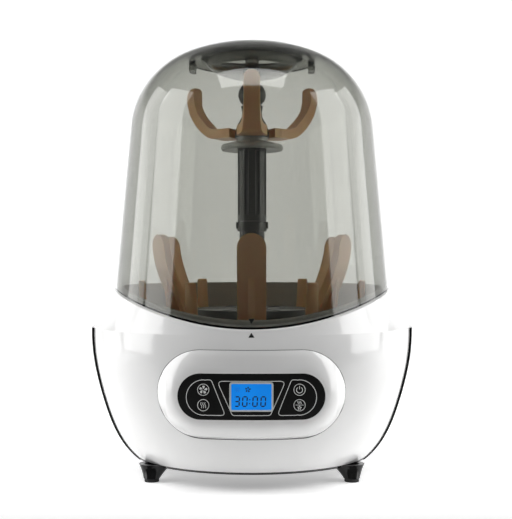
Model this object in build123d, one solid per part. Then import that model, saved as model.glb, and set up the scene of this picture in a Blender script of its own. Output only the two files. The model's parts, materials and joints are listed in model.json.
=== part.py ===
from build123d import *
import math
import os

# Bottle sterilizer and dryer: a white and black base with a water basin, a heater, a drying blower
# and a control panel, a two-level drying rack on a centre post, and a smoked dome lid.
# Millimetres, +Z up, -Y is the front. The origin is the centre of the footprint, on the table.

# ---------------------------------------------------------------- driving dimensions

WALL = 2.6                  # moulded wall of the housings
GAP = 0.3                   # clearance between parts that move apart
THIN = 0.1                  # clearance between parts that are fastened together

# base shell
BASE_BOTTOM = 12.0          # underside of the shell, held up by the feet
BAND_TOP = 14.3             # top of the black band under the white apron
SHOULDER_Z = 131.5          # crease where the collar starts
RIM_Z = 167.0               # rim of the collar at the sides and back
RIM_ARC = 281.0             # radius of the rim's forward dip, seen from the side
HALF_WIDTH = 147.6          # black tub at its widest
HALF_DEPTH = 131.5          # front to centre at its deepest
LIP = 2.2                   # how far the black tub stands proud of the white apron
PARTING_Y = -26.0           # the white apron lies in front of this plane
SEAM = 0.2

# feet
FOOT_X = 87.0
FOOT_Y = 60.0
FOOT_R = 6.4
PAD_H = 3.0

# chamber
BASIN_R = 120.2
BASIN_FLOOR = 108.0
BASIN_WALL = 2.4
PLATE_R = 54.0

# control panel
PANEL_Z = 83.0
BEZEL_W = 155.0
BEZEL_H = 74.0
BEZEL_T = 3.0
BEZEL_GAP = 0.45            # visible seam round the bezel
LENS_W = 119.0
LENS_H = 37.0
LENS_Y = -132.5             # foremost point of the panel lens
LENS_R = 330.0              # plan radius of the lens
LENS_T = 2.4
KEY_R = 5.3
KEY_X = 38.6
KEY_RISE = 6.2              # key rows above and below the panel's centre
KEY_TRAVEL = 0.8
SCREEN_W = 32.4
SCREEN_H = 21.0
FRAME_W = 35.3
FRAME_H = 23.5
FRAME_CORNER = 2.2

# lid
DOME_T = 3.0
DOME_RIM_R = 124.9          # at RIM_Z
DOME_TAPER_TOP = 315.5      # height where the wall turns into the shoulder
DOME_TAPER_R = 111.6
DOME_SHOULDER = 79.2
DOME_CROWN = 166.0
GRIP_R = 46.0               # opening in the crown
GRIP_FLANGE = 58.6
GRIP_DEPTH = 362.0          # lowest point of the grip bowl

# lower rack
RACK_PLATE_Z = 113.0
RACK_PLATE_R = 110.0
DRUM_R = 60.0
DRUM_TOP = 147.5
FINGERS = 6
FINGER_TOP = 215.0
FINGER_HALF = 12.3          # half the width of a finger
PEG_R = 100.0
PEG_TOP = 173.5
POST_R = 11.6
POST_SPLIT = 228.0

# upper rack
UPPER_POST_R = 13.3
HUB_Z = 297.0
ARMS = 3
ARM_TOP = 358.0
KNOB_BALL = 12.8

# blower
FAN_X = 0.0
FAN_Y = 62.0
FAN_Z = 44.0
FAN_R = 30.0
FAN_H = 20.0


# ---------------------------------------------------------------- helpers

def cyl(radius, z0, z1, x=0.0, y=0.0):
    """Upright cylinder between two heights."""
    return Pos(x, y, (z0 + z1) / 2) * Cylinder(radius, z1 - z0)


def ring(outer, inner, z0, z1, x=0.0, y=0.0):
    """Upright tube between two heights."""
    return cyl(outer, z0, z1, x, y) - cyl(inner, z0 - 1, z1 + 1, x, y)


def block(x0, x1, y0, y1, z0, z1):
    """Box between two corners."""
    return Pos((x0 + x1) / 2, (y0 + y1) / 2, (z0 + z1) / 2) * Box(x1 - x0, y1 - y0, z1 - z0)


def rod_y(radius, y0, y1, x, z):
    """Cylinder along Y."""
    return Pos(x, (y0 + y1) / 2, z) * Rot(90, 0, 0) * Cylinder(radius, y1 - y0)


def around(angle, solid):
    """Turn a solid that lies on the +X side to a bearing, counted from the front."""
    return Rot(0, 0, angle - 90) * solid


def revolve_points(points):
    """Solid of revolution from radius and height pairs."""
    outline = make_face(Polyline([(r, 0, z) for r, z in points], close=True))
    return revolve(outline, Axis.Z)


def stadium_prism(width, height, y0, y1, z=PANEL_Z, x=0.0):
    """Prism along Y with straight long sides and round ends."""
    face = Plane.XZ * SlotOverall(width, height)
    return Pos(x, y1, z) * extrude(face, y1 - y0)


# ---------------------------------------------------------------- base shell surfaces

def tub_half_width(z):
    """Half-width of the black tub: wide at the shoulder, drawn in towards the feet."""
    u = max(0.0, (125.0 - z) / 113.0)
    return HALF_WIDTH - 30.6 * u ** 1.6 - 11.2 * u ** 8


def tub_half_depth(z):
    """Half-depth of the base, greatest a little under the shoulder."""
    if z > 112.0:
        return HALF_DEPTH - 0.0059 * (z - 112.0) ** 2
    u = (112.0 - z) / 100.0
    return HALF_DEPTH - 29.0 * u ** 1.6 - 11.0 * u ** 8


def apron_front(x, z):
    """Y of the white apron's surface."""
    a = tub_half_width(z) - LIP
    return -tub_half_depth(z) * math.sqrt(max(0.0, 1 - (x / a) ** 2))


def ellipse_loft(sections):
    """Smooth solid through level ellipses given as height, half-width, half-depth."""
    faces = [Pos(0, 0, z) * Ellipse(a, b) for z, a, b in sections]
    return loft(faces)


TUB_LEVELS = (BASE_BOTTOM, 18, 30, 50, 80, 110, SHOULDER_Z)


def tub_solid(inset_x, inset_y):
    """Lower base volume, shrunk by an inset."""
    return ellipse_loft([(z, tub_half_width(z) - inset_x, tub_half_depth(z) - inset_y) for z in TUB_LEVELS])


def collar_solid(inset):
    """Collar volume: flares out to a sharp lip at the sides and runs smoothly into the front."""
    top_r = DOME_RIM_R + 1.0
    wide = tub_half_width(SHOULDER_Z) - LIP
    deep = tub_half_depth(SHOULDER_Z)
    sections = []
    for v in (1, 0.85, 0.6, 0.3, 0):
        z = SHOULDER_Z + (RIM_Z + 1 - SHOULDER_Z) * (1 - v)
        a = top_r + (wide - top_r) * (0.73 * v + 0.27 * v ** 6)
        b = top_r + (deep - top_r) * v * v
        sections.append((z, a - inset, b - inset))
    return ellipse_loft(sections)


def below_rim(rise):
    """Everything under the rim surface: level at the back, dipping in an arc at the front."""
    y0 = -165.0
    top = RIM_Z + rise
    centre = top - RIM_ARC
    z0 = centre + math.sqrt(RIM_ARC ** 2 - y0 ** 2)
    mid_y = y0 / 2
    z_mid = centre + math.sqrt(RIM_ARC ** 2 - mid_y ** 2)
    outline = ThreePointArc((0, y0, z0), (0, mid_y, z_mid), (0, 0, top))
    outline += Polyline((0, 0, top), (0, 200, top), (0, 200, -60), (0, y0, -60), (0, y0, z0))
    return extrude(make_face(outline), 200, both=True, dir=(1, 0, 0))


TUB_OUT = tub_solid(0, 0)
TUB_IN = tub_solid(WALL, WALL)
APRON_OUT = tub_solid(LIP, 0)
APRON_IN = tub_solid(LIP + WALL, WALL)
COLLAR_OUT = collar_solid(0)
COLLAR_IN = collar_solid(WALL)
RIM = below_rim(0)
FRONT_HALF = block(-200, 200, -200, PARTING_Y, BAND_TOP + SEAM, 300)
REAR_HALF = block(-200, 200, PARTING_Y + SEAM, 200, -10, 300)

SCREW_POSTS = [(-78, -38), (78, -38), (-84, 34), (84, 34)]
HATCH = (-58, 58, -52, 18)  # bottom hatch outline: x0, x1, y0, y1


# ---------------------------------------------------------------- base parts

def upper_housing():
    """White front apron and the collar that carries the lid, in one moulding."""
    apron = (APRON_OUT - APRON_IN) & FRONT_HALF
    apron -= stadium_prism(BEZEL_W + 2 * BEZEL_GAP, BEZEL_H + 2 * BEZEL_GAP, -180, -60)
    collar = (COLLAR_OUT - COLLAR_IN) & RIM
    ledge = ((COLLAR_OUT - cyl(BASIN_R + 0.4, 100, 200)) & RIM) - below_rim(-4)
    body = apron + collar + ledge
    for x, y in SCREW_POSTS:
        top = BASIN_FLOOR - 3
        if y < PARTING_Y:
            web_x = 101 if x > 0 else -101
            body += ring(4.5, 1.6, 40, top, x, y)
            body += block(min(x, web_x), max(x, web_x), y - 1.2, y + 1.2, 78, top) - cyl(4.2, 0, 200, x, y)
            reach = block(min(web_x, web_x * 1.6), max(web_x, web_x * 1.6), y - 1.2, y + 1.2, 78, top)
            body += reach & APRON_OUT
    return body


def lower_housing():
    """Black rear tub with the bottom band and the four legs."""
    shell = (TUB_OUT - TUB_IN) & REAR_HALF
    levels = (BASE_BOTTOM, BAND_TOP)
    floor = ellipse_loft([(z, tub_half_width(z) - LIP / 2, tub_half_depth(z)) for z in levels])
    body = shell + floor
    x0, x1, y0, y1 = HATCH
    body -= block(x0 - SEAM, x1 + SEAM, y0 - SEAM, y1 + SEAM, 0, BASE_BOTTOM + 1.2)
    body -= block(x0 + 5, x1 - 5, y0 + 5, y1 - 5, 0, 40)
    for x, y in SCREW_POSTS:
        body -= cyl(1.9, 0, 40, x, y)
    for sx in (-1, 1):
        for sy in (-1, 1):
            body += leg(sx, sy)
            body -= leg_core(sx, sy)
    body -= block(FILTER_X0 - GAP, FILTER_X1 + GAP, 80, 200, FILTER_Z0 - GAP, FILTER_Z1 + GAP)
    body -= block(INLET_X - 13.2, INLET_X + 13.2, 60, 200, INLET_Z - 9.2, INLET_Z + 9.2)
    return body


def leg(sx, sy):
    """Tapered leg that leaves the bottom band and stands on a round foot."""
    sections = [
        Pos(sx * 84, sy * 53, BAND_TOP) * Ellipse(15, 12),
        Pos(sx * 85.5, sy * 56, 9.5) * Ellipse(11, 9.5),
        Pos(sx * FOOT_X, sy * FOOT_Y, PAD_H) * Circle(FOOT_R + 0.8),
    ]
    return loft(sections)


def leg_core(sx, sy):
    """Hollow of a leg, open to the inside of the tub."""
    sections = [
        Pos(sx * 84, sy * 53, BAND_TOP + 0.5) * Ellipse(10.5, 8),
        Pos(sx * 85.5, sy * 56, 10.5) * Ellipse(7, 5.5),
        Pos(sx * 86.5, sy * 58.5, 6.0) * Circle(3.6),
    ]
    return loft(sections)


def foot_pads():
    """Four rubber pads."""
    return [
        cyl(FOOT_R, 0, PAD_H, sx * FOOT_X, sy * FOOT_Y)
        for sx in (-1, 1)
        for sy in (-1, 1)
    ]


def bottom_cover():
    """Service hatch in the floor."""
    x0, x1, y0, y1 = HATCH
    body = block(x0, x1, y0, y1, BASE_BOTTOM - 0.8, BASE_BOTTOM + 1.0)
    for x, y in hatch_screw_places():
        body -= cyl(1.6, 0, 40, x, y)
    return body


def hatch_screw_places():
    x0, x1, y0, y1 = HATCH
    return [(x, y) for x in (x0 + 2.5, x1 - 2.5) for y in (y0 + 2.5, y1 - 2.5)]


def pan_screw(x, y, z, shank_r=1.5, shank_l=8.0, head_r=2.8, head_h=1.6):
    """Pan-head screw pointing up, its head under z."""
    body = cyl(head_r, z - head_h, z, x, y) + cyl(shank_r, z, z + shank_l, x, y)
    return body - block(x - head_r, x + head_r, y - 0.4, y + 0.4, z - head_h, z - head_h + 0.8)


def bottom_cover_screws():
    return [pan_screw(x, y, BASE_BOTTOM - 0.8, 1.5, 1.7) for x, y in hatch_screw_places()]


def housing_screws():
    """Long screws through the floor into the bosses above."""
    screws = []
    for x, y in SCREW_POSTS:
        reach = 60.0 if y < PARTING_Y else BASIN_FLOOR - 4 - BASE_BOTTOM
        screws.append(pan_screw(x, y, BASE_BOTTOM, 1.5, reach, 3.2, 1.8))
    return screws


def chamber_basin():
    """Water basin and inner wall of the steam chamber, with a locating lip for the lid."""
    inner = BASIN_R - BASIN_WALL
    floor_top = BASIN_FLOOR + BASIN_WALL
    body = ring(BASIN_R, inner, BASIN_FLOOR, RIM_Z + 8) & below_rim(2.4)
    body += ring(BASIN_R, PLATE_R - 8, BASIN_FLOOR, floor_top)
    for x, y in plate_screw_places():
        body += ring(4.0, 1.45, BASIN_FLOOR - 1.6, BASIN_FLOOR, x, y) - cyl(PLATE_R + 0.2, 0, 200)
    for x, y in SCREW_POSTS:
        if y > PARTING_Y:
            body += ring(4.5, 1.55, BASIN_FLOOR - 30, BASIN_FLOOR, x, y)
    body -= block(-24, 24, 100, 130, 119, 137)
    return body


def plate_screw_places():
    r = PLATE_R + 6
    return [(r * math.cos(math.radians(a)), r * math.sin(math.radians(a))) for a in (45, 135, 225, 315)]


def plate_gasket():
    return ring(PLATE_R, PLATE_R - 9, BASIN_FLOOR - 1.6, BASIN_FLOOR)


def heating_plate():
    """Stainless plate under the basin, with four fastening ears."""
    z1 = BASIN_FLOOR - 1.6
    body = cyl(PLATE_R, z1 - 2.2, z1)
    for x, y in plate_screw_places():
        ear = block(-7, 7, -5, 5, z1 - 2.2, z1)
        ear = Pos(x * 0.96, y * 0.96, 0) * Rot(0, 0, math.degrees(math.atan2(y, x))) * ear
        body += ear
    for x, y in plate_screw_places():
        body -= cyl(1.7, 0, 200, x, y)
    return body


def plate_screws():
    z = BASIN_FLOOR - 1.6 - 2.2
    return [pan_screw(x, y, z, 1.4, 3.6, 2.6, 1.5) for x, y in plate_screw_places()]


def heating_element():
    """Sheathed element bent into an open ring under the plate, with two terminals."""
    z = BASIN_FLOOR - 1.6 - 2.2 - 3.6
    r = 36.0
    body = Pos(0, 0, z) * Torus(r, 3.5)
    body -= block(-9, 9, -60, 0, z - 10, z + 10)
    for x in (-11.5, 11.5):
        y = -math.sqrt(r * r - x * x)
        body += cyl(2.4, z - 16, z, x, y)
    return body


def thermostat():
    """Snap disc thermostat against the plate."""
    z = BASIN_FLOOR - 1.6 - 2.2
    body = cyl(8.2, z - 7, z) + cyl(11.5, z - 2.0, z - 0.8)
    for x in (-4, 4):
        body += block(x - 1.2, x + 1.2, -2.5, 2.5, z - 14, z - 7)
    return body


def thermal_fuse():
    """Over-temperature fuse in its clip beside the thermostat."""
    z = BASIN_FLOOR - 1.6 - 2.2 - 3
    return Pos(0, 21, z) * Rot(0, 90, 0) * Cylinder(2.4, 16) + block(-9, 9, 19.5, 22.5, z - 1, z + 3)


# ---------------------------------------------------------------- control panel

def lens_front(x):
    """Y of the lens surface."""
    return LENS_Y + x * x / (2 * LENS_R)


def bezel_front(x, z):
    """Y of the raised bezel: flush with the apron at its edge, level with the lens inside."""
    half = (BEZEL_W - BEZEL_H) / 2
    dx = max(0.0, abs(x) - half)
    inside = BEZEL_H / 2 - math.hypot(dx, z - PANEL_Z)
    s = min(1.0, max(-0.05, inside / ((BEZEL_H - LENS_H) / 2)))
    w = 1 - (1 - s) ** 2
    return apron_front(x, z) * (1 - w) + lens_front(x) * w


def control_bezel():
    """Pillow-shaped surround of the control panel."""
    columns = [5 * i for i in range(-16, 17)]
    rows = [PANEL_Z + 5 * i for i in range(-8, 9)]
    points = [[Vector(x, bezel_front(x, z), z) for z in rows] for x in columns]
    skin = Face.make_surface_from_array_of_points(points)
    behind = extrude(skin, 60, dir=(0, 1, 0))
    body = stadium_prism(BEZEL_W, BEZEL_H, -150, -90) & behind
    body -= Pos(0, BEZEL_T, 0) * behind
    return body - stadium_prism(LENS_W + 2 * THIN, LENS_H + 2 * THIN, -180, -60)


def panel_lens():
    """Glossy black lens with a window for the display and four key holes."""
    shell = cyl(LENS_R, PANEL_Z - 30, PANEL_Z + 30, 0, LENS_Y + LENS_R)
    shell -= cyl(LENS_R - LENS_T, PANEL_Z - 40, PANEL_Z + 40, 0, LENS_Y + LENS_R)
    body = shell & stadium_prism(LENS_W, LENS_H, -180, -90)
    window = block(-FRAME_W / 2 - THIN, FRAME_W / 2 + THIN, -180, -90,
                   PANEL_Z - FRAME_H / 2 - THIN, PANEL_Z + FRAME_H / 2 + THIN)
    body -= fillet(window.edges().filter_by(Axis.Y), FRAME_CORNER + THIN)
    for x, z in key_places():
        body -= rod_y(KEY_R + GAP, -180, -90, x, z)
    return body


def key_places():
    """Key centres: the left pair, then the right pair."""
    return [(x, PANEL_Z - 0.6 + dz) for x in (-KEY_X, KEY_X) for dz in (KEY_RISE, -KEY_RISE)]


def key(x, z):
    """Round key cap with a retaining flange behind the lens."""
    front = lens_front(x) - 0.4
    back = front + 6.0
    flange = lens_front(x) + LENS_T + 1.1
    body = rod_y(KEY_R, front, back, x, z)
    body = fillet(body.edges().group_by(Axis.Y)[0], 0.4)
    return body + rod_y(KEY_R + 0.5, flange, flange + 1.0, x, z)


def display_frame():
    """Bright frame round the display."""
    y0 = LENS_Y - 0.2
    body = block(-FRAME_W / 2, FRAME_W / 2, y0, y0 + 3.2, PANEL_Z - FRAME_H / 2, PANEL_Z + FRAME_H / 2)
    body = fillet(body.edges().filter_by(Axis.Y), FRAME_CORNER)
    opening = block(-SCREEN_W / 2, SCREEN_W / 2, -180, -90, PANEL_Z - SCREEN_H / 2, PANEL_Z + SCREEN_H / 2)
    return body - fillet(opening.edges().filter_by(Axis.Y), 1.0)


def display_module():
    """Backlit display: the screen fills the frame, its carrier sits behind."""
    y0 = LENS_Y + 0.5
    w, h = SCREEN_W / 2 - THIN, SCREEN_H / 2 - THIN
    body = block(-w, w, y0, LENS_Y + 3.2, PANEL_Z - h, PANEL_Z + h)
    body = fillet(body.edges().filter_by(Axis.Y), 1.0 - THIN)
    return body + block(-17, 17, LENS_Y + 3.2, LENS_Y + 7.0, PANEL_Z - 11.2, PANEL_Z + 11.2)


BOARD_Y = lens_front(KEY_X) + 8.6


def control_board():
    """Circuit board behind the panel, on four stand-offs of the bezel."""
    body = block(-52, 52, BOARD_Y, BOARD_Y + 1.6, PANEL_Z - 17, PANEL_Z + 17)
    for x in (-47, 47):
        for dz in (-13, 13):
            body -= rod_y(1.5, -180, -60, x, PANEL_Z + dz)
    return body


def key_switches():
    """Tactile switches under the keys."""
    solids = []
    for x, z in key_places():
        face = lens_front(x) - 0.4 + 6.0 + KEY_TRAVEL + 0.2
        solid = block(x - 3, x + 3, face + 0.6, BOARD_Y, z - 3, z + 3)
        solids.append(solid + rod_y(1.6, face, BOARD_Y, x, z))
    return solids


def board_screws():
    """Board screws from behind."""
    solids = []
    for x in (-47, 47):
        for dz in (-13, 13):
            z = PANEL_Z + dz
            head = rod_y(2.6, BOARD_Y + 1.6, BOARD_Y + 3.1, x, z)
            solids.append(head + rod_y(1.4, BOARD_Y - 3.0, BOARD_Y + 1.6, x, z))
    return solids


# ---------------------------------------------------------------- drying blower

FAN_SHAFT_R = 1.5
SPOUT = 42.0


def blower_scroll():
    """Spiral casing of the blower, open at its inlet and at its outlet spout."""
    z0, z1 = FAN_Z - 4, FAN_Z + FAN_H + 4
    outer = cyl(FAN_R + 9, z0, z1, FAN_X, FAN_Y)
    outer += block(FAN_X + 14, FAN_X + FAN_R + 9, FAN_Y, FAN_Y + SPOUT, z0, z1)
    cavity = cyl(FAN_R + 7, z0 + 2, z1 - 2, FAN_X, FAN_Y)
    cavity += block(FAN_X + 16, FAN_X + FAN_R + 7, FAN_Y, FAN_Y + SPOUT - 2, z0 + 2, z1 - 2)
    cavity += block(FAN_X + 16, FAN_X + FAN_R + 7, FAN_Y + 26, FAN_Y + SPOUT - 2, z1 - 3, z1 + 1)
    body = outer - cavity
    body -= cyl(3.0, z0 - 1, z0 + 3, FAN_X, FAN_Y)
    body -= cyl(FAN_R - 8, z1 - 3, z1 + 1, FAN_X, FAN_Y)
    return body


def blower_cover():
    """Inlet ring with a guard cross over the blower."""
    z1 = FAN_Z + FAN_H + 4
    body = ring(FAN_R - 4, FAN_R - 10, z1, z1 + 2, FAN_X, FAN_Y)
    body += block(FAN_X - FAN_R + 5, FAN_X + FAN_R - 5, FAN_Y - 1, FAN_Y + 1, z1, z1 + 2)
    body += block(FAN_X - 1, FAN_X + 1, FAN_Y - FAN_R + 5, FAN_Y + FAN_R - 5, z1, z1 + 2)
    return body


def blower_motor():
    """Motor under the casing, its shaft up the impeller's bore."""
    z0 = FAN_Z - 4
    body = cyl(14, z0 - 18, z0, FAN_X, FAN_Y)
    return body + cyl(FAN_SHAFT_R, z0 - 1, FAN_Z + 12, FAN_X, FAN_Y)


def impeller():
    """Backplate, hub and forward blades of the drying fan."""
    body = cyl(FAN_R, FAN_Z, FAN_Z + 1.6, FAN_X, FAN_Y)
    body += cyl(5, FAN_Z, FAN_Z + 13, FAN_X, FAN_Y)
    for i in range(16):
        blade = Pos(FAN_R - 5.5, 0, FAN_Z + 9) * Rot(0, 0, 35) * Box(8.0, 1.2, 16)
        body += Pos(FAN_X, FAN_Y, 0) * Rot(0, 0, i * 22.5) * blade
    body &= cyl(FAN_R, FAN_Z - 1, FAN_Z + 30, FAN_X, FAN_Y)
    return body - cyl(FAN_SHAFT_R + 0.05, FAN_Z - 2, FAN_Z + 40, FAN_X, FAN_Y)


def air_duct():
    """Duct from the blower's spout up to the outlet in the basin wall."""
    z0 = FAN_Z + FAN_H + 4
    x0, x1 = FAN_X + 14, FAN_X + FAN_R + 9
    y0, y1 = FAN_Y + 24, FAN_Y + SPOUT
    body = block(x0, x1, y0, y1, z0, 98) - block(x0 + 2, x1 - 2, y0 + 2, y1 - 2, z0 - 1, 99)
    return body


def air_heater():
    """Finned heater in the duct's mouth."""
    x0, x1 = FAN_X + 16.2, FAN_X + FAN_R + 6.8
    y0, y1 = FAN_Y + 26.2, FAN_Y + SPOUT - 2.2
    body = block(x0, x1, y0, y0 + 2, 80, 92) + block(x0, x1, y1 - 2, y1, 80, 92)
    count = 6
    for i in range(count):
        x = x0 + 1 + (x1 - x0 - 2) * i / (count - 1)
        body += block(x - 0.6, x + 0.6, y0, y1, 80, 92)
    return body


def outlet_grille():
    """Slotted grille in the basin's back wall."""
    body = ring(BASIN_R - 0.2, BASIN_R - BASIN_WALL + 0.2, 119.2, 136.8)
    body &= block(-23.8, 23.8, 100, 130, 119, 137)
    for i in range(5):
        z = 121.8 + 3.1 * i
        body -= block(-20, 20, 100, 130, z - 0.8, z + 0.8)
    return body


# ---------------------------------------------------------------- power and filter

INLET_X = -40.0
INLET_Z = 40.0
INLET_Y = 92.5              # back of the inlet's body
INLET_FACE = 108.5
FILTER_X0, FILTER_X1 = -56.0, 8.0
FILTER_Z0, FILTER_Z1 = 74.0, 98.0


def power_board():
    """Mains board with relay, capacitor and choke, on the left of the tub."""
    body = block(-104, -102.4, -18, 38, 30, 86)
    body += block(-102.4, -88, -10, 8, 36, 52)
    body += Pos(-95, 22, 46) * Rot(0, 90, 0) * Cylinder(6.5, 14.8)
    body += block(-102.4, -90, -12, 10, 60, 76)
    return body


def power_inlet():
    """Two-pin appliance inlet in the tub's back wall."""
    x, z = INLET_X, INLET_Z
    y1 = INLET_FACE
    body = block(x - 13, x + 13, INLET_Y, y1, z - 9, z + 9)
    body = fillet(body.edges().filter_by(Axis.Y), 3.0)
    body -= stadium_prism(19.0, 9.0, y1 - 14, y1 + 5, z, x)
    for dx in (-4.2, 4.2):
        body += rod_y(1.15, y1 - 15, y1 - 3, x + dx, z)
    return body


def filter_housing():
    """Sleeve that guides the filter drawer and feeds the blower."""
    x0, x1, z0, z1 = FILTER_X0, FILTER_X1, FILTER_Z0, FILTER_Z1
    body = block(x0 - 2.4, x1 + 2.4, 54, 108, z0 - 2.4, z1 + 2.4)
    body -= block(x0 - 0.4, x1 + 0.4, 56, 120, z0 - 0.4, z1 + 0.4)
    body -= block(x0 + 6, x1 - 6, 60, 100, z0 - 5, z0 + 1)
    return body


def filter_door():
    """Drawer front, flush with the tub, with a tray and a finger pull."""
    x0, x1, z0, z1 = FILTER_X0, FILTER_X1, FILTER_Z0, FILTER_Z1
    front = TUB_OUT & block(x0 + 0.3, x1 - 0.3, 106, 200, z0 + 0.3, z1 - 0.3)
    front -= block(x0 - 5, x1 + 5, 0, 109, z0 - 5, z1 + 5)
    front -= block(-40, -8, 118, 200, z0 + 6, z0 + 15)
    tray = block(x0 + 0.3, x1 - 0.3, 58, 109, z0 + 0.3, z1 - 0.3)
    tray -= block(x0 + 2.3, x1 - 2.3, 60, 107, z0 + 2.3, z1 + 5)
    tray -= block(x0 + 8, x1 - 8, 62, 98, z0 - 5, z0 + 5)
    return front + tray


def filter_cartridge():
    """Pleated air filter in its frame."""
    x0, x1, z0 = FILTER_X0 + 2.6, FILTER_X1 - 2.6, FILTER_Z0 + 2.4
    y0, y1 = 60.3, 106.7
    body = block(x0, x1, y0, y1, z0, z0 + 16)
    body -= block(x0 + 2, x1 - 2, y0 + 2, y1 - 2, z0 + 2, z0 + 20)
    pleats = 14
    pitch = (x1 - x0 - 4) / pleats
    for i in range(pleats):
        x = x0 + 2 + pitch * (i + 0.5)
        body += block(x - 0.7, x + 0.7, y0 + 2, y1 - 2, z0 + 2, z0 + 14)
    return body


# ---------------------------------------------------------------- lower rack

def rack_base():
    """Raised drum that carries the post, with the clip ring and feet under the drain plate."""
    z0 = RACK_PLATE_Z
    drum = revolve_points([
        (DRUM_R + 4, z0), (DRUM_R, DRUM_TOP - 6), (DRUM_R - 5, DRUM_TOP), (POST_R + 3.4, DRUM_TOP),
        (POST_R + 3.4, z0 + 3), (POST_R + 0.05, z0 + 3), (POST_R + 0.05, z0), (POST_R + 6, z0),
        (POST_R + 6, DRUM_TOP - 3), (DRUM_R - 7, DRUM_TOP - 3), (DRUM_R - 3, DRUM_TOP - 8), (DRUM_R + 1, z0),
    ])
    drum -= ring(POST_R + 3.4, 0.01, z0 + 3, 200)
    for i in range(6):
        vent = Pos(38, 0, DRUM_TOP) * Box(26, 5, 20)
        drum -= around(i * 60 + 30, vent)
    return drum


def drain_plate():
    """Slotted plate round the drum, with three feet that stand on the basin floor."""
    z0 = RACK_PLATE_Z
    body = ring(RACK_PLATE_R, DRUM_R + 4 + THIN, z0, z0 + 3)
    body += ring(RACK_PLATE_R, RACK_PLATE_R - 2.5, z0, z0 + 5)
    for i in range(12):
        slot = Pos(84, 0, z0) * Box(22, 7, 12)
        body -= around(i * 30 + 15, slot)
    for i in range(3):
        foot = cyl(3.5, BASIN_FLOOR + BASIN_WALL + THIN, z0 + 1, 104, 0)
        body += around(i * 120, foot)
    return body


def finger():
    """Tall S-curved finger that a bottle is stood over, with a stiffening rib behind it."""
    z0 = RACK_PLATE_Z + 3
    top = FINGER_TOP + 8
    outline = Spline((64.5, z0), (66, 142), (79, 172), (88, 197), (89.6, top),
                     tangents=((0, 1), (0.02, 1)))
    outline += Line((89.6, top), (95.6, top))
    outline += Spline((95.6, top), (94, 196), (86, 171), (73.5, 142), (72.5, z0),
                      tangents=((-0.02, -1), (0, -1)))
    outline += Line((72.5, z0), (64.5, z0))
    side = Plane.XZ * make_face(outline)
    blade = extrude(side, FINGER_HALF, both=True)
    crown = FINGER_TOP - FINGER_HALF
    window = Plane.YZ * make_face(Polyline(
        (-FINGER_HALF, z0), (-FINGER_HALF, crown), (FINGER_HALF, crown), (FINGER_HALF, z0), close=True))
    tip = Plane.YZ * (Pos(0, crown) * Circle(FINGER_HALF))
    mask = extrude(window, 140, dir=(1, 0, 0)) + extrude(tip, 140, dir=(1, 0, 0))
    body = blade & mask
    rib = Plane.XZ * make_face(Polyline(
        (72.0, z0), (84, z0), (86, 150), (87.5, 168), (89, 182), (78, 160), (72.2, 142), close=True))
    return body + extrude(rib, 3.0, both=True)


def divider_pegs():
    """Short pegs between the fingers."""
    solids = []
    for i in range(FINGERS):
        z0 = RACK_PLATE_Z + 3
        peg = loft([
            Pos(PEG_R, 0, z0) * Ellipse(4.6, 7.2),
            Pos(PEG_R + 1, 0, 150) * Ellipse(3.6, 6.0),
            Pos(PEG_R + 2.5, 0, PEG_TOP) * Ellipse(3.2, 5.2),
        ])
        peg = fillet(peg.edges().group_by(Axis.Z)[-1], 1.6)
        solids.append(around(30 + i * 60, peg))
    return solids


def lower_post():
    """Hollow post that the upper rack plugs into, with a keyed collar at the split."""
    body = cyl(POST_R, RACK_PLATE_Z + 0.2, POST_SPLIT)
    body += ring(POST_R + 2.0, POST_R - 1, POST_SPLIT - 9, POST_SPLIT)
    for sx in (-1, 1):
        tab = block(POST_R, POST_R + 3.2, -3, 3, POST_SPLIT - 6.5, POST_SPLIT - 0.5)
        body += Rot(0, 0, 0 if sx > 0 else 180) * tab
    body -= cyl(8.6, RACK_PLATE_Z + 23, POST_SPLIT + 1)
    body += rod_y(2.0, -(POST_R + 2.5), -(POST_R - 1), 0, POST_SPLIT - 4)
    return body


# ---------------------------------------------------------------- upper rack

def upper_post():
    """Fluted post with a spigot that drops into the lower post."""
    z0 = POST_SPLIT + GAP
    body = cyl(UPPER_POST_R, z0, HUB_Z)
    for i in range(8):
        flute = cyl(2.2, z0 + 6, HUB_Z - 4, UPPER_POST_R + 0.6, 0)
        body -= around(i * 45 + 22.5, flute)
    return body + cyl(8.3, POST_SPLIT - 36, z0 + 1)


def upper_hub():
    """Round plate under the arms, with a raised boss."""
    body = revolve_points([
        (0, HUB_Z), (28.0, HUB_Z - 3), (29.0, HUB_Z - 1), (28.0, HUB_Z + 2), (14.5, HUB_Z + 5.5),
        (14.5, HUB_Z + 9), (0, HUB_Z + 9),
    ])
    return body - cyl(UPPER_POST_R + 0.4, HUB_Z - 10, HUB_Z)


ARM_Z = HUB_Z + 9


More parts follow.
